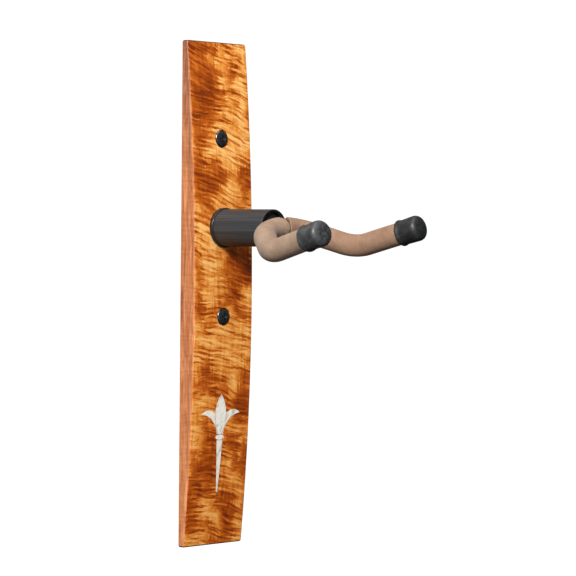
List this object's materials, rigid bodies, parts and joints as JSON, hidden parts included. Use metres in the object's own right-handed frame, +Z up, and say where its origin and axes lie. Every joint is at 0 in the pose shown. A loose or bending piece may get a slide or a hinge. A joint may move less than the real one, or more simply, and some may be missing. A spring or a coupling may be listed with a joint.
{
  "type": "wall guitar hanger",
  "caption": "Crowned wooden back plate with a spacer tube and a padded, swivelling two-arm yoke that holds a guitar by its headstock.",
  "frame": {"origin": "where the yoke's swivel axis meets the wall, midway between the two wall screws", "axes": "+Z up along the back plate, +Y into the wall, the yoke reaches out along -Y"},
  "size_m": [0.1009, 0.1575, 0.3062],
  "materials": {
    "figured_wood": "satin lacquer over strongly figured wood",
    "pearl": "polished pearl",
    "black_screw": "glossy black",
    "collar_black": "satin moulded",
    "tube_black": "black anodised, brushed along its length",
    "acetal_black": "turned",
    "zinc_steel": "zinc plated",
    "black_steel": "black powder coat",
    "pad_tan": "matte tubing",
    "cap_vinyl": "soft vinyl",
    "nylon": "moulded"
  },
  "bodies": {
    "base": {"back_plate": "figured_wood", "inlay_centre_petal": "pearl", "inlay_left_petal": "pearl", "inlay_right_petal": "pearl", "inlay_bead": "pearl", "inlay_spike": "pearl", "upper_wall_screw": "black_screw", "lower_wall_screw": "black_screw", "base_collar": "collar_black", "spacer_tube": "tube_black", "front_bush": "acetal_black", "rear_bush": "acetal_black", "thrust_washer": "acetal_black", "backing_washer": "zinc_steel", "spring_washer": "zinc_steel"},
    "yoke": {"yoke_stem": "black_steel", "yoke_rod": "black_steel", "left_pad": "pad_tan", "right_pad": "pad_tan", "left_end_cap": "cap_vinyl", "right_end_cap": "cap_vinyl", "lock_nut": "zinc_steel", "nut_nylon_ring": "nylon"}
  },
  "joints": [
    {"name": "yoke_swivel", "type": "hinge", "parent": "base", "child": "yoke", "pos_m": [0, 0, 0], "axis": [0, 1, 0], "continuous": true}
  ]
}
